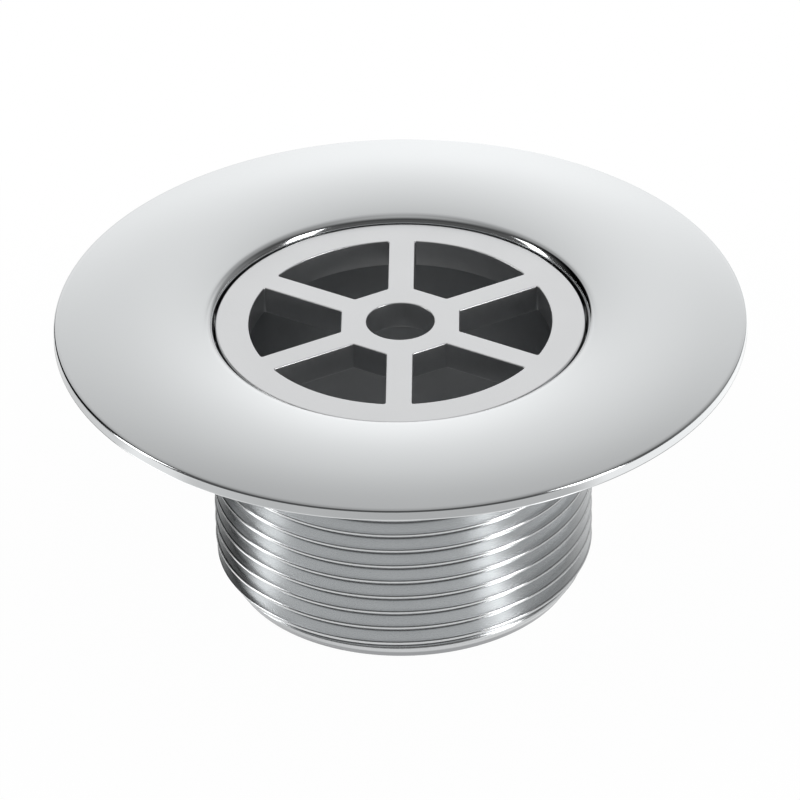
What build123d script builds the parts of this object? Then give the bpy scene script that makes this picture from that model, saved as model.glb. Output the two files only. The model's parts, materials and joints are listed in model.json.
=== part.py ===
from build123d import *
import os

# Shower waste: a flanged outlet with an open threaded tail, and a loose grid that drops into it.
# Sizes are millimetres. Z is up. The origin is the centre of the tail's foot, where the waste stands.

# Tail: it takes a parallel pipe thread of one and a half inches, eleven turns to the inch.
# The solid is the blank at the thread's crests, with the thread's lead below and its relief above.
thread_major_diameter = 47.8
thread_depth = 1.479
tail_length = 34.65
tail_wall = 2.4
foot_lead = 2.0
foot_lead_height = 3.2
foot_bore_break = 0.4
relief_width = 2.4
relief_below_root = 0.1

# Neck: the plain collar under the flange that holds the grid's seat
ledge_width = 3.4
ledge_thickness = 2.7
ledge_break = 0.3
neck_wall = 1.8
neck_break = 0.5

# Flange: thin at the rim, highest at its crown, rounded down into the recess
flange_diameter = 86.6
rim_thickness = 1.55
crown_height = 2.0
crown_from_recess = 7.6
lip_height = 1.8
lip_round = 1.0

# Grid: a disc with spokes, a many-sided hub and a centre hole
spoke_count = 6
spoke_width = 3.24
hub_across_flats = 14.76
hub_hole_diameter = 8.54
grid_thickness = 3.6
grid_rim_width = 4.16
grid_set_down = 1.0
grid_clearance = 0.3
grid_edge_break = 0.35
grid_foot_break = 0.35
opening_corner_round = 0.5
opening_edge_break = 0.25

# Radii that follow from the thread and the walls around it
major_radius = thread_major_diameter / 2
root_radius = major_radius - thread_depth
relief_radius = root_radius - relief_below_root
bore_radius = root_radius - tail_wall
recess_radius = bore_radius + ledge_width
neck_radius = recess_radius + neck_wall
crown_radius = recess_radius + crown_from_recess
flange_radius = flange_diameter / 2
grid_radius = recess_radius - grid_clearance
opening_radius = grid_radius - grid_rim_width

# Heights above the foot
seat_z = tail_length
crown_z = seat_z + crown_height
lip_z = seat_z + lip_height
rim_top_z = seat_z + rim_thickness
grid_top_z = crown_z - grid_set_down
ledge_z = grid_top_z - grid_thickness
neck_foot_z = ledge_z - ledge_thickness
thread_end_z = neck_foot_z - relief_width

# The rim's edge is broken above and below, each for a quarter of its thickness
rim_break = rim_thickness / 4


def corner(sketch, radius, height):
    """The corner of a half section nearest to a radius and a height."""
    return sketch.vertices().sort_by_distance((radius, height, 0))[0]


def make_waste_body():
    """The flange, neck and tail in one: a half section turned about the axis."""
    runout = major_radius - relief_radius
    with BuildSketch(Plane.XZ) as section:
        with BuildLine():
            Polyline(
                (recess_radius, lip_z),
                (recess_radius, ledge_z),
                (bore_radius, ledge_z),
                (bore_radius, 0),
                (major_radius - foot_lead, 0),
                (major_radius, foot_lead_height),
                (major_radius, thread_end_z - runout),
                (relief_radius, thread_end_z),
                (relief_radius, neck_foot_z),
                (neck_radius, neck_foot_z),
                (neck_radius, seat_z),
                (flange_radius, seat_z),
                (flange_radius, rim_top_z),
            )
            TangentArc((crown_radius, crown_z), (flange_radius, rim_top_z), tangent=(1, 0))
            TangentArc((crown_radius, crown_z), (recess_radius, lip_z), tangent=(-1, 0))
        make_face()
        chamfer(corner(section, flange_radius, rim_top_z), rim_break)
        chamfer(corner(section, flange_radius, seat_z), rim_break)
        fillet(corner(section, recess_radius, lip_z), lip_round)
        chamfer(corner(section, neck_radius, neck_foot_z), neck_break)
        chamfer(corner(section, bore_radius, ledge_z), ledge_break)
        chamfer(corner(section, bore_radius, 0), foot_bore_break)
    return revolve(section.sketch, axis=Axis.Z)


def grid_openings():
    """The plan of the openings: a ring's inside, less the hub and the spokes."""
    openings = Circle(opening_radius) - RegularPolygon(
        hub_across_flats / 2,
        spoke_count,
        major_radius=False,
        rotation=180 / spoke_count,
    )
    for index in range(spoke_count):
        angle = 90 + index * 360 / spoke_count
        spoke = Pos(opening_radius / 2, 0) * Rectangle(opening_radius + grid_rim_width, spoke_width)
        openings -= Rot(0, 0, angle) * spoke
    outermost_first = openings.vertices().sort_by_distance((0, 0, 0), reverse=True)
    rim_corners = outermost_first[: 2 * spoke_count]
    return fillet(rim_corners, opening_corner_round)


def make_grid():
    """The loose grid, lying on the ledge of the recess."""
    hole_radius = hub_hole_diameter / 2
    with BuildSketch(Plane.XZ) as section:
        with BuildLine():
            Polyline(
                (hole_radius, ledge_z),
                (grid_radius, ledge_z),
                (grid_radius, grid_top_z),
                (hole_radius, grid_top_z),
                close=True,
            )
        make_face()
        chamfer(corner(section, grid_radius, grid_top_z), grid_edge_break)
        chamfer(corner(section, grid_radius, ledge_z), grid_foot_break)
    disc = revolve(section.sketch, axis=Axis.Z)
    cutter = extrude(Pos(0, 0, ledge_z) * grid_openings(), amount=grid_thickness)
    grid = disc - cutter
    top_face = grid.faces().filter_by(Plane.XY).sort_by(Axis.Z)[-1]
    rims = [edge for wire in top_face.inner_wires() for edge in wire.edges()]
    return chamfer(rims, opening_edge_break)


os.makedirs("parts", exist_ok=True)
waste_body = make_waste_body()
grid = make_grid()
for name, shape in (("waste_body", waste_body), ("grid", grid)):
    export_step(shape, f"parts/{name}.step")
    print(name, round(shape.volume), "mm3", shape.bounding_box().size)
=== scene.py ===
# %% [markdown]
# # A shower waste in polished chrome
# A shower waste is the metal outlet in the floor of a shower tray. A thin domed flange lies on the
# tray, a threaded tail goes down through the tray's hole, and a loose grid keeps things out of the
# drain. This lesson dresses the solid model of one with fine meshes and metal finishes.
#
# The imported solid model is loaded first. It is the frame: nothing in it is moved, and each new
# piece stands where one of its solids stands.

# %% Load the solid model
import json
import math

import bmesh
import bpy
import numpy as np
from mathutils import Matrix, Vector


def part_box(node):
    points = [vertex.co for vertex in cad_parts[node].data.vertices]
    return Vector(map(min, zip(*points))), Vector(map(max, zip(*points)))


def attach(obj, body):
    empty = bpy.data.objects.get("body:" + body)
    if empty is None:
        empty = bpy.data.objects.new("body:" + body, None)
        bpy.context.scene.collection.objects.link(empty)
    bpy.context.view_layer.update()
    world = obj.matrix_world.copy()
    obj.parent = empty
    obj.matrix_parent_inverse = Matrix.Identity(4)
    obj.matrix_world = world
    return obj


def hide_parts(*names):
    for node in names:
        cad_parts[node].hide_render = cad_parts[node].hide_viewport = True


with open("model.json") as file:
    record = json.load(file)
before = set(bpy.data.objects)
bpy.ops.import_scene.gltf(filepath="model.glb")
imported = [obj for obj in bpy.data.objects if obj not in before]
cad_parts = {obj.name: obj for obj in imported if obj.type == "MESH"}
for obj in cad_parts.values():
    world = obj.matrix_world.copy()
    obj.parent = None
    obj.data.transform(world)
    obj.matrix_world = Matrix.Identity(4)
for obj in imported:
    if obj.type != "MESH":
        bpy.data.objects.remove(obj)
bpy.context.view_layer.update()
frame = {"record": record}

MILLIMETRES = 1000.0


# %% [markdown]
# ## Sizes
# Everything is worked out in millimetres and turned into metres only when a mesh is written.
# The main radii and heights are read from the frame: the record says how wide the thread and the
# bore are, and the boxes of the two solids say how wide and high the flange and the grid are.
# The rest are the few sizes that the outside of the box can't tell, such as edge rounds.

# %% Read the driving sizes from the frame
mounts = {mount["name"]: mount for mount in frame["record"]["mounts"]}
_, body_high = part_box("waste_body")
grid_low, grid_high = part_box("grid")

crest_radius = mounts["tail_thread"]["dims"]["r_mm"]
bore_radius = mounts["tail_bore"]["dims"]["r_mm"]
seat_z = mounts["flange_seat"]["pos_m"][2] * MILLIMETRES
flange_radius = body_high[0] * MILLIMETRES
crown_z = body_high[2] * MILLIMETRES
grid_radius = grid_high[0] * MILLIMETRES
grid_top_z = grid_high[2] * MILLIMETRES
ledge_z = grid_low[2] * MILLIMETRES
print("flange", round(flange_radius, 2), "thread", crest_radius, "grid", round(grid_radius, 2))

# %% Sizes of the flange, the recess and the neck
rim_thickness = 1.55
rim_round = 0.4
rim_under_round = 0.3
crown_from_recess = 8.6
lip_drop = 0.3
lip_round = 1.05
grid_clearance = 0.3
recess_foot_round = 0.2
ledge_thickness = 2.7
ledge_round = 0.3
neck_wall = 1.8
neck_foot_round = 0.5
neck_top_round = 0.4
foot_bore_round = 0.35

recess_radius = grid_radius + grid_clearance
crown_radius = recess_radius + crown_from_recess
neck_radius = recess_radius + neck_wall
lip_corner_z = crown_z - lip_drop
neck_foot_z = ledge_z - ledge_thickness
rim_top_z = seat_z + rim_thickness
print("recess", round(recess_radius, 2), "crown", round(crown_radius, 2), "neck", round(neck_radius, 2))

# %% [markdown]
# ## Thread
# The tail carries the parallel pipe thread of one and a half inches, eleven turns to the inch.
# Its flanks stand at 55 degrees to each other. Its depth, and the round of its crests and roots, are
# fixed shares of the pitch, so the pitch and the outside diameter give the whole thread. The last size
# is the side, in degrees round the tail, where a groove runs out at the foot.

# %% Sizes of the thread
inch = 25.4
turns_per_inch = 11
flank_angle = 55
depth_share = 0.6403
round_share = 0.1373
relief_below_root = 0.1
relief_width = 2.4
foot_lead = 2.0
foot_lead_height = 3.2
groove_meets_foot = 299.0

pitch = inch / turns_per_inch
flank_turn = 90 - flank_angle / 2
thread_depth = depth_share * pitch
thread_round = round_share * pitch
root_radius = crest_radius - thread_depth
relief_radius = root_radius - relief_below_root
thread_end_z = neck_foot_z - relief_width
foot_radius = crest_radius - foot_lead
groove_turn = groove_meets_foot / 360
print("thread", round(thread_depth, 3), "mm deep, root radius", round(root_radius, 3))

# %% [markdown]
# ## Two small helpers
# The first turns the hex colour that a picture editor shows into the linear light that Blender
# works in. The second writes a mesh from lists of corners and faces.

# %% Colour and mesh helpers
def linear_colour(hex_code):
    """A colour as a picture editor writes it, turned to linear light with full opacity."""
    channels = [int(hex_code[start:start + 2], 16) / 255 for start in (1, 3, 5)]
    linear = [c / 12.92 if c <= 0.04045 else ((c + 0.055) / 1.055) ** 2.4 for c in channels]
    return (*linear, 1.0)


def mesh_piece(name, corners, faces, zones, materials):
    """A smooth mesh object from corners in millimetres; zones says which material a face takes."""
    mesh = bpy.data.meshes.new(name)
    mesh.from_pydata((np.asarray(corners) / MILLIMETRES).tolist(), [], faces)
    for material in materials:
        mesh.materials.append(material)
    mesh.polygons.foreach_set("material_index", zones)
    mesh.polygons.foreach_set("use_smooth", [True] * len(faces))
    mesh.update()
    mesh.validate()
    piece = bpy.data.objects.new(name, mesh)
    bpy.context.scene.collection.objects.link(piece)
    print(name, len(mesh.vertices), "corners", len(mesh.polygons), "faces")
    return piece


# %% [markdown]
# ## Nodes
# Every material below is a small graph of nodes. One helper adds a node, sets what it needs and
# links its inputs, so that each line of a material reads as one step of its making. The others build on
# it: one clears a graph, one starts a metal, one measures how far a point is from the axis of turning,
# and one makes a grey that changes from place to place.

# %% Node helpers
def add_node(tree, kind, settings=None, inputs=None):
    """Adds a node; settings are its own fields, inputs are numbers, colours or other sockets."""
    node = tree.nodes.new(kind)
    for field, value in (settings or {}).items():
        setattr(node, field, value)
    for socket, value in (inputs or {}).items():
        if isinstance(value, bpy.types.NodeSocket):
            tree.links.new(value, node.inputs[socket])
        else:
            node.inputs[socket].default_value = value
    return node


def cleared_tree(owner):
    """The node graph of a material or a world, with nothing in it."""
    owner.use_nodes = True
    owner.node_tree.nodes.clear()
    return owner.node_tree


def new_metal(name):
    """A metal and its node graph, with the output and the main shader in place."""
    material = bpy.data.materials.new(name)
    tree = cleared_tree(material)
    shader = add_node(tree, "ShaderNodeBsdfPrincipled", None, {"Metallic": 1.0})
    add_node(tree, "ShaderNodeOutputMaterial", inputs={"Surface": shader.outputs["BSDF"]})
    return material, tree, shader


def ring_distance(tree):
    """The place of a point, and its distance from the axis of turning in metres as a socket."""
    place = add_node(tree, "ShaderNodeTexCoord")
    flat = add_node(tree, "ShaderNodeVectorMath", {"operation": "MULTIPLY"},
                    {0: place.outputs["Object"], 1: (1.0, 1.0, 0.0)})
    length = add_node(tree, "ShaderNodeVectorMath", {"operation": "LENGTH"},
                      {0: flat.outputs["Vector"]})
    return place, length.outputs["Value"]


def brightness_ramp(tree, position, stops, ease="CARDINAL"):
    """A grey that follows a position from 0 to 1; stops are pairs of a position and a brightness."""
    ramp = add_node(tree, "ShaderNodeValToRGB", None, {"Fac": position})
    ramp.color_ramp.interpolation = ease
    elements = ramp.color_ramp.elements
    while len(elements) < len(stops):
        elements.new(0.5)
    for element, (place, level) in zip(elements, stops):
        element.position = place
        element.color = (level, level, level, 1.0)
    return ramp.outputs["Color"]


# %% [markdown]
# ## Polished chrome
# The flange is brass that was turned, buffed and then plated with chrome. A buffed plating is almost a
# mirror: the eye sees the room in it, slightly softened, and up close the finest rings left by the
# buffing wheel and a faint unevenness of the plating. A polished metal could be one plain shader,
# but then it looks like computer chrome, so the rings are added as a very shallow bump and the
# unevenness as a gloss that drifts from place to place.
# The rings of a real wheel are finer than a pixel here, so they are drawn 0.25 mm apart.

# %% Chrome, turned and buffed
ring_spacing = 0.25
wave_of_plating = 6.0
chrome_polished, tree, shader = new_metal("chrome_plated_brass_buffed")
place, distance = ring_distance(tree)
rings = add_node(tree, "ShaderNodeTexNoise", {"noise_dimensions": "1D"},
                 {"W": distance, "Scale": MILLIMETRES / ring_spacing, "Detail": 2.0})
plating = add_node(tree, "ShaderNodeTexNoise", None,
                   {"Vector": place.outputs["Object"], "Scale": MILLIMETRES / wave_of_plating,
                    "Detail": 2.0})
ring_bump = add_node(tree, "ShaderNodeBump", None,
                     {"Height": rings.outputs["Fac"], "Strength": 0.03, "Distance": 0.00002})
gloss = add_node(tree, "ShaderNodeMapRange", None,
                 {"Value": plating.outputs["Fac"], "To Min": 0.085, "To Max": 0.125})
shader.inputs["Base Color"].default_value = linear_colour("#D3D5D6")
tree.links.new(gloss.outputs["Result"], shader.inputs["Roughness"])
tree.links.new(ring_bump.outputs["Normal"], shader.inputs["Normal"])
print(chrome_polished.name, "with rings", ring_spacing, "mm apart")

# %% [markdown]
# ## Chrome on the thread
# The thread is cut, not buffed, and plated straight over the cut. The flanks keep fine tool lines that
# run round the tail. Such lines spread light across themselves and hardly along themselves, so a
# lamp shows as one bright band that runs up the tail, across every turn. A shader does that with
# anisotropy: its tangent goes round the axis, and a quarter turn sets the spread across the lines.
# The roots are painted a little darker towards the bottom of each groove, as painted shade.

# %% Chrome, plated as cut
tool_line_spacing = 0.2
patch_size = 5.0
root_shade_share = 0.15
quarter_turn = 0.25
chrome_cut, tree, shader = new_metal("chrome_plated_brass_as_cut")
place, distance = ring_distance(tree)
lines = add_node(tree, "ShaderNodeTexNoise", {"noise_dimensions": "1D"},
                 {"W": distance, "Scale": MILLIMETRES / tool_line_spacing, "Detail": 2.0})
patches = add_node(tree, "ShaderNodeTexNoise", None,
                   {"Vector": place.outputs["Object"], "Scale": MILLIMETRES / patch_size,
                    "Detail": 1.0})
depth = add_node(tree, "ShaderNodeMapRange", None,
                 {"Value": distance, "From Min": root_radius / MILLIMETRES,
                  "From Max": (root_radius + root_shade_share * thread_depth) / MILLIMETRES})
# Painted shade: the base colour darkens over the lowest part of the groove, towards the roots.
tone = add_node(tree, "ShaderNodeMix", {"data_type": "RGBA"},
                {"Factor": depth.outputs["Result"], "A": linear_colour("#9A9C9E"),
                 "B": linear_colour("#D0D2D3")})
gloss = add_node(tree, "ShaderNodeMapRange", None,
                 {"Value": patches.outputs["Fac"], "To Min": 0.2, "To Max": 0.26})
round_axis = add_node(tree, "ShaderNodeTangent", {"direction_type": "RADIAL", "axis": "Z"})
line_bump = add_node(tree, "ShaderNodeBump", None,
                     {"Height": lines.outputs["Fac"], "Strength": 0.04, "Distance": 0.00002})
shader.inputs["Anisotropic"].default_value = 0.65
shader.inputs["Anisotropic Rotation"].default_value = quarter_turn
tree.links.new(tone.outputs["Result"], shader.inputs["Base Color"])
tree.links.new(round_axis.outputs["Tangent"], shader.inputs["Tangent"])
tree.links.new(gloss.outputs["Result"], shader.inputs["Roughness"])
tree.links.new(line_bump.outputs["Normal"], shader.inputs["Normal"])
print(chrome_cut.name, "with tool lines", tool_line_spacing, "mm apart")

# %% [markdown]
# ## Inside the tail and under the flange
# Plating barely reaches into a deep bore. The wall keeps the marks of the boring tool and a thin grey
# flash of nickel, so it is dull and dark beside the flange. The flange's flat underside gets the same
# dull finish, because it lies on the tray and nobody polishes it. One plain grey could do for both, but
# faint marks of the tool and stains show that the metal was cut and never buffed.

# %% Nickel flash, as bored
boring_feed = 0.3
stain_size = 7.0
nickel_bored, tree, shader = new_metal("nickel_flash_on_bored_brass")
place = add_node(tree, "ShaderNodeTexCoord")
height = add_node(tree, "ShaderNodeSeparateXYZ", None, {"Vector": place.outputs["Object"]})
feed = add_node(tree, "ShaderNodeTexNoise", {"noise_dimensions": "1D"},
                {"W": height.outputs["Z"], "Scale": MILLIMETRES / boring_feed, "Detail": 2.0})
stain = add_node(tree, "ShaderNodeTexNoise", None,
                 {"Vector": place.outputs["Object"], "Scale": MILLIMETRES / stain_size,
                  "Detail": 5.0})
tone = add_node(tree, "ShaderNodeMix", {"data_type": "RGBA"},
                {"Factor": stain.outputs["Fac"], "A": linear_colour("#B4B6B8"),
                 "B": linear_colour("#CCCED0")})
feed_bump = add_node(tree, "ShaderNodeBump", None,
                     {"Height": feed.outputs["Fac"], "Strength": 0.15, "Distance": 0.00003})
shader.inputs["Roughness"].default_value = 0.36
tree.links.new(tone.outputs["Result"], shader.inputs["Base Color"])
tree.links.new(feed_bump.outputs["Normal"], shader.inputs["Normal"])
print(nickel_bored.name, "with tool marks", boring_feed, "mm apart")

# %% [markdown]
# ## Satin chrome
# The grid is plated brass too, but its top was blasted with fine grit first. Grit leaves a field of tiny
# dents that spread the light, so the eye sees an even pale grey with no image of the room in it.
# A rough shader alone would be as pale, but without any grain up close, so the dents are a bump.
# The grit is about 0.12 mm, finer than a pixel, so the dents are drawn at 0.3 mm.

# %% Chrome, blasted to a satin
grit_size = 0.3
wear_size = 9.0
chrome_satin, tree, shader = new_metal("chrome_plated_brass_blasted")
place = add_node(tree, "ShaderNodeTexCoord")
grit = add_node(tree, "ShaderNodeTexNoise", None,
                {"Vector": place.outputs["Object"], "Scale": MILLIMETRES / grit_size,
                 "Detail": 3.0, "Roughness": 0.6})
wear = add_node(tree, "ShaderNodeTexNoise", None,
                {"Vector": place.outputs["Object"], "Scale": MILLIMETRES / wear_size,
                 "Detail": 3.0})
gloss = add_node(tree, "ShaderNodeMapRange", None,
                 {"Value": wear.outputs["Fac"], "To Min": 0.27, "To Max": 0.36})
grit_bump = add_node(tree, "ShaderNodeBump", None,
                     {"Height": grit.outputs["Fac"], "Strength": 0.12, "Distance": 0.00005})
shader.inputs["Base Color"].default_value = linear_colour("#DEDFE0")
tree.links.new(gloss.outputs["Result"], shader.inputs["Roughness"])
tree.links.new(grit_bump.outputs["Normal"], shader.inputs["Normal"])
print(chrome_satin.name, "with dents of", grit_size, "mm")

# %% [markdown]
# ## Half section of the body
# The body was turned on a lathe, so one half section spun about the axis gives all of it but the thread.
# A Screw modifier could spin it, but here the corners are written directly, so that the thread can join
# it corner to corner. Every edge gets a small round, as polishing leaves it, and next to each
# round the section holds two points close together: they keep the flat beside it flat when shaded.

# %% Section helpers
hold = 0.06


def arc(centre, radius, start, end, steps):
    """Points on an arc in the half section; angles in degrees, 0 points away from the axis."""
    angles = np.radians(np.linspace(start, end, steps + 1))
    return [(centre[0] + radius * math.cos(a), centre[1] + radius * math.sin(a)) for a in angles]


def rounded(before, corner, after, radius, steps=4):
    """A corner of the section with a round of that radius, and a held point on each side of it."""
    point = Vector(corner)
    back = (Vector(before) - point).normalized()
    on = (Vector(after) - point).normalized()
    half_angle = back.angle(on) / 2
    run = radius / math.tan(half_angle)
    centre = point + (back + on).normalized() * radius / math.sin(half_angle)
    start = point + back * run - centre
    end = point + on * run - centre
    points = [point + back * (run + hold)]
    for step in range(steps + 1):
        share = step / steps
        points.append(centre + (start.slerp(end, share)).normalized() * radius)
    points.append(point + on * (run + hold))
    return [tuple(p) for p in points]


# %% [markdown]
# The dome is two wide arcs that meet level at the crown: one falls to the rim, the other to the lip.
# Each arc's radius follows from how far it runs and how far it falls. The lip and the rim are small
# circles that touch those arcs from inside, and the sums below find where.

# %% The dome, its lip and its rim
def dome_radius(run, fall):
    """Radius of an arc that starts level and falls that much over that run."""
    return (run * run + fall * fall) / (2 * fall)


def touching_circle(dome, side, radius):
    """Centre of a round that touches the dome from inside and a wall, and the angle where they touch."""
    across = side - crown_radius
    up = math.sqrt((dome - radius) ** 2 - across ** 2)
    angle = math.degrees(math.atan2(up, across))
    return (side, crown_z - dome + up), angle


outer_dome = dome_radius(flange_radius - crown_radius, crown_z - rim_top_z)
inner_dome = dome_radius(crown_radius - recess_radius, crown_z - lip_corner_z)
rim_centre, rim_angle = touching_circle(outer_dome, flange_radius - rim_round, rim_round)
lip_centre, lip_angle = touching_circle(inner_dome, recess_radius + lip_round, lip_round)
print("dome radii", round(outer_dome, 1), round(inner_dome, 1), "mm")
print("slope at the rim", round(90 - rim_angle, 1), "degrees")

# %% [markdown]
# The section runs once round the body: from the thread's relief out along the flange's underside, round
# the rim, over the dome and the lip, down the recess, across the ledge and down the bore to the foot.
# The rows between its points take a finish each: the underside and everything from the middle of the
# ledge's edge downwards are dull, and the rest is polished.

# %% Outside of the section, from the thread's relief up to the rim and over the dome
edge_round_steps = 6
outer_dome_steps = 40
inner_dome_steps = 24
relief_top = (relief_radius, neck_foot_z)
neck_foot = (neck_radius, neck_foot_z)
neck_top = (neck_radius, seat_z)
rim_foot = (flange_radius, seat_z)
under_centre = (flange_radius - rim_under_round, seat_z + rim_under_round)
outer_dome_centre = (crown_radius, crown_z - outer_dome)
inner_dome_centre = (crown_radius, crown_z - inner_dome)

outside = [relief_top, (relief_radius + hold, neck_foot_z)]
outside += rounded(relief_top, neck_foot, neck_top, neck_foot_round)
outside += rounded(neck_foot, neck_top, rim_foot, neck_top_round)
underside_row = len(outside) - 1
outside += [(under_centre[0] - hold, seat_z)]
outside += arc(under_centre, rim_under_round, -90, 0, edge_round_steps)
outside += [(flange_radius, under_centre[1] + hold), (flange_radius, rim_centre[1] - hold)]
outside += arc(rim_centre, rim_round, 0, rim_angle, edge_round_steps)
outside += arc(outer_dome_centre, outer_dome, rim_angle, 90, outer_dome_steps)[1:]
outside += arc(inner_dome_centre, inner_dome, 90, lip_angle, inner_dome_steps)[1:]
print("points outside", len(outside))

# %% Inside of the section, down over the lip to the ledge and the bore
lip_steps = 12
half_of_ledge_edge = 4
recess_foot = (recess_radius, ledge_z)
ledge_edge = (bore_radius, ledge_z)
bore_foot = (bore_radius, 0)
tail_foot = (foot_radius, 0)

lip = arc(lip_centre, lip_round, lip_angle, 180, lip_steps)[1:]
lip += [(recess_radius, lip_centre[1] - hold)]
recess = rounded((recess_radius, crown_z), recess_foot, ledge_edge, recess_foot_round)
recess += rounded(recess_foot, ledge_edge, bore_foot, ledge_round)
bore = rounded(ledge_edge, bore_foot, tail_foot, foot_bore_round)
section = outside + lip + recess + bore + [tail_foot]
polished_rows = len(outside) + len(lip) + len(recess) - half_of_ledge_edge
print("section points", len(section))

# %% [markdown]
# ## Cutting the thread
# A thread is one small profile carried round and up at the same time. The profile of one pitch is laid out
# first: round root, straight flank, round crest, straight flank. Then it is screwed up the tail, so a
# row of corners climbs one pitch for each turn. Last, everything that would stand outside the turned
# blank is pressed back onto it, just as the blank's cone at the foot and its relief at the top limit
# the real thread.

# %% One pitch of the thread
half_root_steps = 3
crest_steps = 6


def held(start, end):
    """Two points on a straight stretch, close to its ends, which keep it straight when shaded."""
    step = (Vector(end) - Vector(start)).normalized() * hold
    return [tuple(Vector(start) + step), tuple(Vector(end) - step)]


def pitch_profile():
    """Radius and height within one pitch, from the middle of one root to just before the next."""
    root_centre = root_radius + thread_round
    crest_centre = crest_radius - thread_round
    root = arc((root_centre, 0), thread_round, 180, 180 - flank_turn, half_root_steps)
    crest = arc((crest_centre, pitch / 2), thread_round, -flank_turn, flank_turn, crest_steps)
    next_root = arc((root_centre, pitch), thread_round, 180 + flank_turn, 180, half_root_steps)
    return root + held(root[-1], crest[0]) + crest + held(crest[-1], next_root[0]) + next_root[:-1]


profile = pitch_profile()
rows_per_pitch = len(profile)
print("points in one pitch", rows_per_pitch)

# %% Screw the profile up the tail and press it onto the blank
columns = 208
spare_turns = 2


def blank_radius(z):
    """How far the turned blank reaches at a height: the lead cone, then the crests, then the relief."""
    lead = foot_radius + z * foot_lead / foot_lead_height
    runout = relief_radius + np.maximum(thread_end_z - z, 0)
    return np.minimum(np.minimum(lead, crest_radius), runout)


turns = math.ceil(neck_foot_z / pitch) + spare_turns
thread_rows = turns * rows_per_pitch
pitch_radius = np.array([point[0] for point in profile])
pitch_z = np.array([point[1] for point in profile])
row_z = np.concatenate([pitch_z + pitch * (turn - 1) for turn in range(turns)])
row_radius = np.tile(pitch_radius, turns)
share_of_turn = np.arange(columns) / columns
climb = pitch * (share_of_turn - groove_turn)
thread_z = np.clip(row_z[:, None] + climb[None, :], 0.0, neck_foot_z)
thread_radius = np.minimum(row_radius[:, None], blank_radius(thread_z))
angles = 2 * math.pi * share_of_turn
print("thread rows", thread_rows, "columns", columns)

# %% [markdown]
# ## One closed skin
# The thread's rows and the section's rows are quads between neighbouring columns. At the seam of a turn the
# thread joins itself one pitch higher, which is what makes it a thread and not a stack of rings.
# The two parts share their end circles, and merging equal corners closes the skin.

# %% Corners and faces of the body
polished_zone = 0
cut_zone = 1
bored_zone = 2


def round_the_axis(radius, z):
    """Corners of rows and columns about the axis, row by row."""
    x = radius * np.cos(angles)[None, :]
    y = radius * np.sin(angles)[None, :]
    return np.stack([x, y, np.broadcast_to(z, x.shape)], axis=2).reshape(-1, 3)


def row_faces(first, rows, shift):
    """Quads between rows; past the last column a row joins the one that is shift rows higher."""
    quads = []
    for row in range(rows - 1):
        for column in range(columns):
            following = column + 1
            lift = 0
            if following == columns:
                following = 0
                lift = shift
            if row + 1 + lift >= rows:
                continue
            here = first + row * columns
            above = here + columns
            there = here + lift * columns + following
            quads.append((here + column, there, there + columns, above + column))
    return quads


def section_zone(row):
    """Which finish a row of the section takes."""
    return polished_zone if row < polished_rows and row != underside_row else bored_zone


thread_corners = round_the_axis(thread_radius, thread_z)
section_radius = np.array([point[0] for point in section])[:, None]
section_z = np.array([point[1] for point in section])[:, None]
section_corners = round_the_axis(section_radius * np.ones(columns)[None, :], section_z)
thread_faces = row_faces(0, thread_rows, rows_per_pitch)
section_faces = row_faces(len(thread_corners), len(section), 0)
zones = [cut_zone] * len(thread_faces)
zones += [section_zone(face // columns) for face in range(len(section_faces))]
body = mesh_piece("waste_body_fine", np.vstack([thread_corners, section_corners]),
                  thread_faces + section_faces, zones, [chrome_polished, chrome_cut, nickel_bored])

# %% Close the body's skin
same_place = 1e-7


def count_open_edges(skin):
    """How many edges of a skin don't lie between two faces; a closed skin has none."""
    return sum(1 for edge in skin.edges if len(edge.link_faces) != 2)


def merge_equal_corners(piece):
    """Joins corners in the same place and drops the faces that this leaves without area."""
    skin = bmesh.new()
    skin.from_mesh(piece.data)
    bmesh.ops.remove_doubles(skin, verts=skin.verts, dist=same_place)
    bmesh.ops.dissolve_degenerate(skin, edges=skin.edges, dist=same_place)
    open_edges = count_open_edges(skin)
    skin.to_mesh(piece.data)
    skin.free()
    print(piece.name, len(piece.data.polygons), "faces, open edges", open_edges)


merge_equal_corners(body)
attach(body, "root")
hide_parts("waste_body")

# %% [markdown]
# ## Grid
# The grid is a flat disc with six openings and a hole in its hub. A disc with Boolean cuts would leave
# edges that are hard to round evenly, so each opening is drawn as a closed line first. The line is then
# copied at several heights, a little wider each time towards the face, which rounds the edge the way
# tumbling and blasting do. Flat faces are filled between the lines at the end.

# %% Sizes of the grid
spoke_count = 6
spoke_width = 3.24
hub_across_flats = 14.76
hub_hole_diameter = 8.54
grid_rim_width = 4.16
outer_corner = 0.25
inner_corner = 0.3
opening_edge = 0.11
outer_edge = 0.22
under_edge = 0.2

spoke_half = spoke_width / 2
hub_half = hub_across_flats / 2
hub_hole_radius = hub_hole_diameter / 2
opening_radius = grid_radius - grid_rim_width
spoke_gap = 2 * math.pi / spoke_count
print("openings reach", round(opening_radius, 2), "mm from the axis")

# %% Lines of the openings
corner_steps = 6
opening_rim_points = 26
hub_hole_points = 96
first_spoke = math.pi / 2


def turned(points, angle):
    """Points turned about the axis."""
    c = math.cos(angle)
    s = math.sin(angle)
    return [(x * c - y * s, x * s + y * c) for x, y in points]


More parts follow.
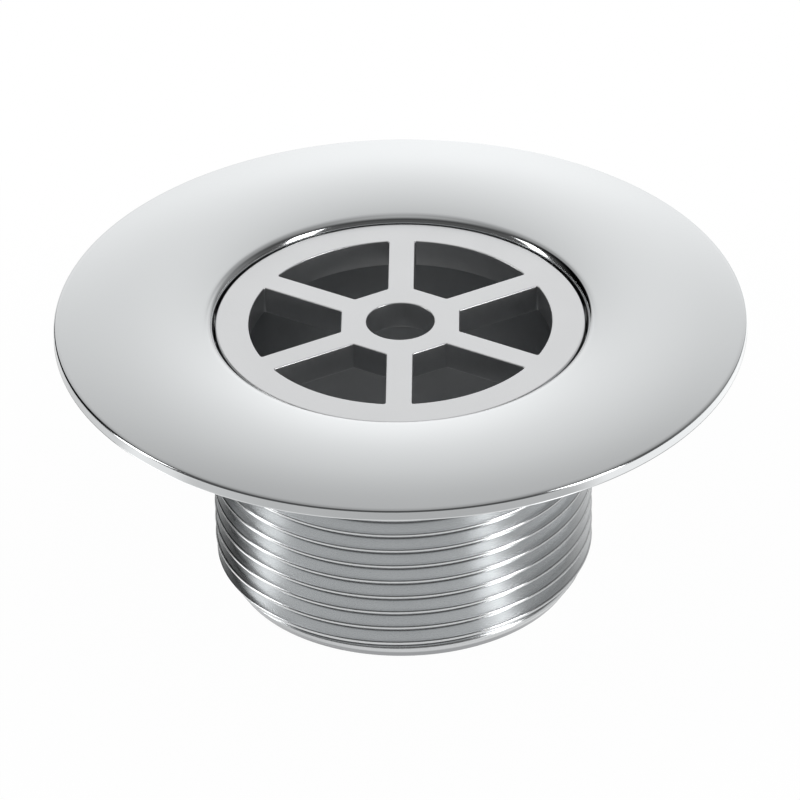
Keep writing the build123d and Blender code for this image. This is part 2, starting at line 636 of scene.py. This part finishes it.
def half_opening():
    """Half of one opening, seen from a spoke that lies along X: hub corner, spoke side, rim corner."""
    reach = math.sqrt((opening_radius - outer_corner) ** 2 - (spoke_half + outer_corner) ** 2)
    centre = (reach, spoke_half + outer_corner)
    touch = math.degrees(math.atan2(centre[1], centre[0]))
    hub_face = spoke_gap / 2
    hub_at = (hub_half - spoke_half * math.sin(hub_face)) / math.cos(hub_face)
    along_hub = (hub_at - math.sin(hub_face), spoke_half + math.cos(hub_face))
    hub = rounded(along_hub, (hub_at, spoke_half), (reach, spoke_half), inner_corner)[1:-1]
    return hub + arc(centre, outer_corner, -90, touch, corner_steps), math.radians(touch)


def opening_line():
    """One closed opening, counter-clockwise, between the spoke along X and the next one."""
    half, touch = half_opening()
    mirrored = [(x, -y) for x, y in reversed(half)]
    rim_steps = np.linspace(touch, spoke_gap - touch, opening_rim_points)[1:-1]
    rim = [(opening_radius * math.cos(a), opening_radius * math.sin(a)) for a in rim_steps]
    return half + rim + turned(mirrored, spoke_gap)


def circle_line(radius, steps):
    """A closed circle, counter-clockwise."""
    turns_of_step = np.arange(steps) * 2 * math.pi / steps
    return [(radius * math.cos(a), radius * math.sin(a)) for a in turns_of_step]


opening = opening_line()
opening_lines = [turned(opening, first_spoke + spoke_gap * index) for index in range(spoke_count)]
opening_lines.append(circle_line(hub_hole_radius, hub_hole_points))
print("points round one opening", len(opening))

# %% [markdown]
# Each line becomes a wall: a ring of corners just off the edge on the top face, rings round the edge, and
# the same again at the under face. An opening's rings widen towards a face, and the disc's own outline
# shrinks there instead.

# %% Walls of the grid
grid_outline_points = 240
top_edge_steps = 5
under_edge_steps = 3


def pushed_out(points, amount):
    """A closed counter-clockwise line moved outwards by an amount; a negative one moves it inwards."""
    here = np.array(points)
    along = np.roll(here, -1, axis=0) - here
    along /= np.linalg.norm(along, axis=1)[:, None]
    normal = np.stack([along[:, 1], -along[:, 0]], axis=1)
    both = normal + np.roll(normal, 1, axis=0)
    both /= np.linalg.norm(both, axis=1)[:, None]
    stretch = 1 / np.sum(both * normal, axis=1)
    return here + both * (amount * stretch)[:, None]


def edge_steps(size, steps):
    """Sideways and downward shares of a quarter round, from the face to the wall."""
    quarter = np.linspace(0, math.pi / 2, steps + 1)
    return [(size * (1 - math.sin(a)), size * (1 - math.cos(a))) for a in quarter]


def wall_rings(points, outward, top_edge, bottom_edge):
    """Rings of corners down one wall of the grid, from its top face to its under face."""
    rings = [(top_edge + hold, grid_top_z)]
    rings += [(side, grid_top_z - down) for side, down in edge_steps(top_edge, top_edge_steps)]
    rings += [(side, ledge_z + down) for side, down in reversed(edge_steps(bottom_edge, under_edge_steps))]
    rings += [(bottom_edge + hold, ledge_z)]
    built = []
    for side, z in rings:
        ring = pushed_out(points, outward * side)
        built.append(np.column_stack([ring, np.full(len(ring), z)]))
    return built


walls = [wall_rings(line, 1, opening_edge, under_edge) for line in opening_lines]
walls.append(wall_rings(circle_line(grid_radius, grid_outline_points), -1, outer_edge, outer_edge))
print("walls of the grid", len(walls), "with", len(walls[0]), "rings each")

# %% Faces of the grid
def build_grid():
    """The grid as one closed skin: the walls first, then the two flat faces between them."""
    skin = bmesh.new()
    top_edges = []
    under_edges = []
    for number, rings in enumerate(walls):
        outside_wall = number == len(walls) - 1
        made = [[skin.verts.new(corner / MILLIMETRES) for corner in ring] for ring in rings]
        count = len(made[0])
        for upper, lower in zip(made, made[1:]):
            for index in range(count):
                following = (index + 1) % count
                quad = [upper[index], upper[following], lower[following], lower[index]]
                skin.faces.new(reversed(quad) if outside_wall else quad)
        for rim, store in ((made[0], top_edges), (made[-1], under_edges)):
            store += [skin.edges.get((rim[i], rim[(i + 1) % count])) for i in range(count)]
    for store in (top_edges, under_edges):
        bmesh.ops.triangle_fill(skin, use_beauty=True, use_dissolve=False, edges=store)
    bmesh.ops.recalc_face_normals(skin, faces=skin.faces)
    for face in skin.faces:
        face.smooth = True
    open_edges = count_open_edges(skin)
    mesh = bpy.data.meshes.new("grid_fine")
    skin.to_mesh(mesh)
    skin.free()
    mesh.materials.append(chrome_satin)
    piece = bpy.data.objects.new("grid_fine", mesh)
    bpy.context.scene.collection.objects.link(piece)
    print(piece.name, len(mesh.polygons), "faces, open edges", open_edges)
    return piece


grid = build_grid()
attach(grid, "root")
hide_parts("grid")

# %% [markdown]
# ## Camera
# The picture was taken with a long lens, from about a third of the way up between level and overhead, and
# turned by one degree. A long lens far away keeps the flange's ellipse even from front to back.
# The camera is placed from the grid's centre by its elevation, side angle and distance, and aimed a
# little below the grid, so that the whole waste sits in the frame.

# %% Aim the camera
camera_elevation = math.radians(32.45)
camera_side = math.radians(1.14)
camera_roll = math.radians(1.0)
camera_distance = 934.0
aim_below = 9.84
aim_right = -0.03

grid_centre = Vector((0, 0, grid_top_z))
towards_camera = Vector((math.sin(camera_side) * math.cos(camera_elevation),
                         -math.cos(camera_side) * math.cos(camera_elevation),
                         math.sin(camera_elevation)))
camera_place = grid_centre + towards_camera * camera_distance
level_right = Vector((0, 0, 1)).cross(towards_camera).normalized()
level_up = towards_camera.cross(level_right)
right = level_right * math.cos(camera_roll) - level_up * math.sin(camera_roll)
up = level_up * math.cos(camera_roll) + level_right * math.sin(camera_roll)
aim = grid_centre - up * aim_below + right * aim_right
back = (camera_place - aim).normalized()
right = (right - back * right.dot(back)).normalized()
up = back.cross(right)
print("camera at", [round(value) for value in camera_place], "mm")

# %% Place the camera
sensor_width = 36.0
frame_pixels = 800
focal_pixels = 7480.0
nearest_seen = 0.01
furthest_seen = 50.0

lens = bpy.data.cameras.new("camera")
lens.sensor_width = sensor_width
lens.lens = focal_pixels * sensor_width / frame_pixels
lens.clip_start = nearest_seen
lens.clip_end = furthest_seen
camera = bpy.data.objects.new("camera", lens)
pose = Matrix((right, up, back)).transposed().to_4x4()
pose.translation = camera_place / MILLIMETRES
camera.matrix_world = pose
bpy.context.scene.collection.objects.link(camera)
bpy.context.scene.camera = camera
print("lens", round(lens.lens, 1), "mm")

# %% [markdown]
# ## Floor
# The waste stands on a plain white sheet that runs on into the background. A sheet lit only by the studio
# would come out grey, so what the camera sees of it is mostly its own white, and the rest takes the
# soft shadow round the foot. Further out it is all white, so that no edge shows.
# Seen from below it is clear, so that the underside can be looked at.
#
# The thread and the rim mirror the sheet, and what they show of it isn't even: there are pale pools where
# the sheet catches the two soft boxes, it is dimmer between them, and darker at the sides. A glossy
# sheet could make these pools by itself, but slowly and with noise. So they are painted by direction
# round the foot, once for the sheet near the foot and once for the sheet beyond the flange, and only
# reflections see them. Inside the bore, where little light gets down, the sheet has a faint painted glow.

# %% What the metal sees of the sheet
pool_strength = 2.0
# Painted shade right round the foot, seen only in reflections: its level and where it fades out
foot_shade_level = 0.45
foot_shade_starts = 26.0
foot_shade_ends = 34.0
near_sheet_ends = 65.0
far_sheet_starts = 80.0
# Places round the foot: 0 and 1 lie behind the waste, 0.25 to its left, 0.5 in front, 0.75 to its right
near_stops = [(0.2, 0.08), (0.255, 0.08), (0.28, 1.1), (0.308, 1.1), (0.335, 0.49), (0.5, 0.48),
              (0.585, 0.5), (0.606, 1.0), (0.624, 1.4), (0.64, 0.65), (0.66, 0.3), (0.78, 0.2)]
far_stops = [(0.15, 0.5), (0.2, 0.4), (0.265, 0.45), (0.29, 0.6), (0.32, 0.55), (0.35, 0.4),
             (0.42, 0.34), (0.5, 0.3), (0.62, 0.34), (0.66, 0.62), (0.8, 0.66)]


def soft_step(tree, distance, start, end):
    """A value that grows smoothly from 0 to 1 between two distances in millimetres."""
    step = add_node(tree, "ShaderNodeMapRange", {"interpolation_type": "SMOOTHSTEP"},
                    {"Value": distance, "From Min": start / MILLIMETRES,
                     "From Max": end / MILLIMETRES})
    return step.outputs["Result"]


def sheet_brightness(tree, place, distance, path):
    """Brightness of the sheet: even for the camera, by direction round the foot for the metal."""
    spot = add_node(tree, "ShaderNodeSeparateXYZ", None, {"Vector": place.outputs["Object"]})
    front = add_node(tree, "ShaderNodeMath", {"operation": "MULTIPLY"}, {0: spot.outputs["Y"], 1: -1.0})
    turn = add_node(tree, "ShaderNodeMath", {"operation": "ARCTAN2"},
                    {0: spot.outputs["X"], 1: front.outputs["Value"]})
    around = add_node(tree, "ShaderNodeMapRange", None,
                      {"Value": turn.outputs["Value"], "From Min": -math.pi, "From Max": math.pi})
    # Painted shade: close to the foot the metal sees the sheet at one even, dimmer level.
    near = add_node(tree, "ShaderNodeMix", {"data_type": "RGBA"},
                    {"Factor": soft_step(tree, distance, foot_shade_starts, foot_shade_ends),
                     "A": (foot_shade_level, foot_shade_level, foot_shade_level, 1.0),
                     "B": brightness_ramp(tree, around.outputs["Result"], near_stops, "EASE")})
    pools = add_node(tree, "ShaderNodeMix", {"data_type": "RGBA"},
                     {"Factor": soft_step(tree, distance, near_sheet_ends, far_sheet_starts),
                      "A": near.outputs["Result"],
                      "B": brightness_ramp(tree, around.outputs["Result"], far_stops, "EASE")})
    level = add_node(tree, "ShaderNodeMath", {"operation": "MULTIPLY"},
                     {0: pools.outputs["Result"], 1: pool_strength})
    return add_node(tree, "ShaderNodeMix", None,
                    {"Factor": path.outputs["Is Glossy Ray"], "A": 1.0,
                     "B": level.outputs["Value"]}).outputs["Result"]


# %% Material of the sheet
white_share_at_foot = 0.98
shadow_starts = 30.0
shadow_ends = 110.0
painted_glow_in_bore = 0.045


def white_sheet():
    """The floor's material: white to the camera and in reflections, with a soft shadow near the foot."""
    material = bpy.data.materials.new("white_paper_sheet")
    tree = cleared_tree(material)
    path = add_node(tree, "ShaderNodeLightPath")
    seen = add_node(tree, "ShaderNodeMath", {"operation": "MAXIMUM"},
                    {0: path.outputs["Is Camera Ray"], 1: path.outputs["Is Glossy Ray"]})
    place, distance = ring_distance(tree)
    spread = add_node(tree, "ShaderNodeMapRange", None,
                      {"Value": soft_step(tree, distance, shadow_starts, shadow_ends),
                       "To Min": white_share_at_foot, "To Max": 1.0})
    outside_tail = add_node(tree, "ShaderNodeMath", {"operation": "GREATER_THAN"},
                            {0: distance, 1: bore_radius / MILLIMETRES})
    open_sheet = add_node(tree, "ShaderNodeMath", {"operation": "MULTIPLY"},
                          {0: outside_tail.outputs["Value"], 1: spread.outputs["Result"]})
    # Inside the bore the sheet keeps a faint painted glow, seen by the camera and in reflections.
    lit = add_node(tree, "ShaderNodeMath", {"operation": "MAXIMUM"},
                   {0: open_sheet.outputs["Value"], 1: painted_glow_in_bore})
    share = add_node(tree, "ShaderNodeMath", {"operation": "MULTIPLY"},
                     {0: seen.outputs["Value"], 1: lit.outputs["Value"]})
    paper = add_node(tree, "ShaderNodeBsdfDiffuse", None, {"Color": linear_colour("#F4F4F4")})
    white = add_node(tree, "ShaderNodeEmission", None,
                     {"Color": linear_colour("#FFFFFF"),
                      "Strength": sheet_brightness(tree, place, distance, path)})
    sheet = add_node(tree, "ShaderNodeMixShader", None,
                     {0: share.outputs["Value"], 1: paper.outputs["BSDF"],
                      2: white.outputs["Emission"]})
    side = add_node(tree, "ShaderNodeNewGeometry")
    below = add_node(tree, "ShaderNodeMath", {"operation": "MULTIPLY"},
                     {0: side.outputs["Backfacing"], 1: path.outputs["Is Camera Ray"]})
    clear = add_node(tree, "ShaderNodeBsdfTransparent")
    both = add_node(tree, "ShaderNodeMixShader", None,
                    {0: below.outputs["Value"], 1: sheet.outputs["Shader"],
                     2: clear.outputs["BSDF"]})
    add_node(tree, "ShaderNodeOutputMaterial", inputs={"Surface": both.outputs["Shader"]})
    return material


# %% Lay the sheet
floor_half = 3000.0
floor_drop = 0.02
quarters = ((-1, -1), (1, -1), (1, 1), (-1, 1))
floor_corners = [(x * floor_half, y * floor_half, -floor_drop) for x, y in quarters]
floor = mesh_piece("floor_sheet", floor_corners, [(0, 1, 2, 3)], [0], [white_sheet()])

# %% [markdown]
# ## Studio
# Chrome shows little but the room around it. The room here is a white cove behind the waste, brightest near
# the table and falling off upwards and to its sides, a dimmer ceiling, and a dark side behind the
# camera. Far to the left the cove ends in black, which draws the dark stripe at the thread's left edge.
# Walls and lamps could make all this, but the world's background paints it by direction without noise.
# The camera itself sees plain white.

# %% Brightness of the studio by direction
studio_strength = 1.36
cove_starts = -0.1
cove_is_full = 0.5
# Upwards: 0 is level with the table and 1 is overhead
cove_stops = [(0.0, 0.97), (0.43, 1.0), (0.469, 0.935), (0.515, 0.81), (0.559, 0.718),
              (0.602, 0.618), (0.65, 0.49), (1.0, 0.38)]
dark_side_stops = [(0.0, 0.08), (0.25, 0.09), (0.5, 0.08), (0.75, 0.07), (0.88, 0.2), (1.0, 0.38)]
# Across: 0 is far left, 0.5 is straight behind the waste and 1 is far right
fall_off_stops = [(0.0, 0.0), (0.227, 0.02), (0.256, 0.5), (0.3, 0.68), (0.4, 0.8), (0.465, 0.92),
                  (0.5, 1.0), (0.535, 0.92), (0.6, 0.8), (0.77, 0.6), (0.86, 0.25), (1.0, 0.25)]

# %% Paint the studio
world = bpy.data.worlds.new("studio")
bpy.context.scene.world = world
tree = cleared_tree(world)
place = add_node(tree, "ShaderNodeTexCoord")
direction = add_node(tree, "ShaderNodeSeparateXYZ", None, {"Vector": place.outputs["Generated"]})
across = add_node(tree, "ShaderNodeMapRange", None,
                  {"Value": direction.outputs["X"], "From Min": -1.0, "From Max": 1.0})
cove = brightness_ramp(tree, direction.outputs["Z"], cove_stops)
dark_side = brightness_ramp(tree, direction.outputs["Z"], dark_side_stops)
fall_off = brightness_ramp(tree, across.outputs["Result"], fall_off_stops)
cove_side = add_node(tree, "ShaderNodeMix", {"data_type": "RGBA", "blend_type": "MULTIPLY"},
                     {"Factor": 1.0, "A": cove, "B": fall_off})
facing = add_node(tree, "ShaderNodeMapRange", {"interpolation_type": "SMOOTHSTEP"},
                  {"Value": direction.outputs["Y"], "From Min": cove_starts,
                   "From Max": cove_is_full})
room = add_node(tree, "ShaderNodeMix", {"data_type": "RGBA"},
                {"Factor": facing.outputs["Result"], "A": dark_side,
                 "B": cove_side.outputs["Result"]})
lit = add_node(tree, "ShaderNodeBackground", None,
               {"Color": room.outputs["Result"], "Strength": studio_strength})
plain = add_node(tree, "ShaderNodeBackground", None,
                 {"Color": linear_colour("#FFFFFF"), "Strength": 1.0})
path = add_node(tree, "ShaderNodeLightPath")
seen = add_node(tree, "ShaderNodeMixShader", None,
                {0: path.outputs["Is Camera Ray"], 1: lit.outputs["Background"],
                 2: plain.outputs["Background"]})
add_node(tree, "ShaderNodeOutputWorld", inputs={"Surface": seen.outputs["Shader"]})
print(world.name, "of", len(tree.nodes), "nodes, strength", studio_strength)

# %% [markdown]
# ## Soft boxes
# Two upright soft boxes stand beside the table: one straight to the left, and one to the right and a
# little towards the camera. They make the bright bands on the thread and the glints on the lip and the
# rim. Each is an area lamp, sized and aimed from the angle that it fills as seen from the waste. Glowing
# boards would look the same in the metal, but light it with more noise. The camera doesn't see the lamps.

# %% Place the soft boxes
box_distance = 600.0
middle_of_waste = grid_centre * 0.5


def soft_box(name, turn, rise, half_width, half_height, brightness):
    """An area lamp; angles in degrees, turn is measured from behind the waste towards its right."""
    towards = Vector((math.sin(math.radians(turn)) * math.cos(math.radians(rise)),
                      math.cos(math.radians(turn)) * math.cos(math.radians(rise)),
                      math.sin(math.radians(rise))))
    lamp = bpy.data.lights.new(name, "AREA")
    lamp.shape = "RECTANGLE"
    lamp.size = 2 * box_distance * math.tan(math.radians(half_width)) / MILLIMETRES
    lamp.size_y = 2 * box_distance * math.tan(math.radians(half_height)) / MILLIMETRES
    lamp.energy = brightness * math.pi * lamp.size * lamp.size_y
    stand = bpy.data.objects.new(name, lamp)
    stand.location = (middle_of_waste + towards * box_distance) / MILLIMETRES
    stand.rotation_euler = towards.to_track_quat("Z", "Y").to_euler()
    stand.visible_camera = False
    bpy.context.scene.collection.objects.link(stand)
    print(name, round(lamp.size, 3), "by", round(lamp.size_y, 3), "m,", round(lamp.energy, 2), "W")


soft_box("soft_box_left", turn=-92, rise=22, half_width=7, half_height=18, brightness=4.4)
soft_box("soft_box_right", turn=119, rise=22, half_width=9, half_height=18, brightness=6.0)

# %% [markdown]
# ## Picture settings
# The plain view transform keeps every colour as it is written.

# %% Settings
bpy.context.scene.view_settings.view_transform = "Standard"
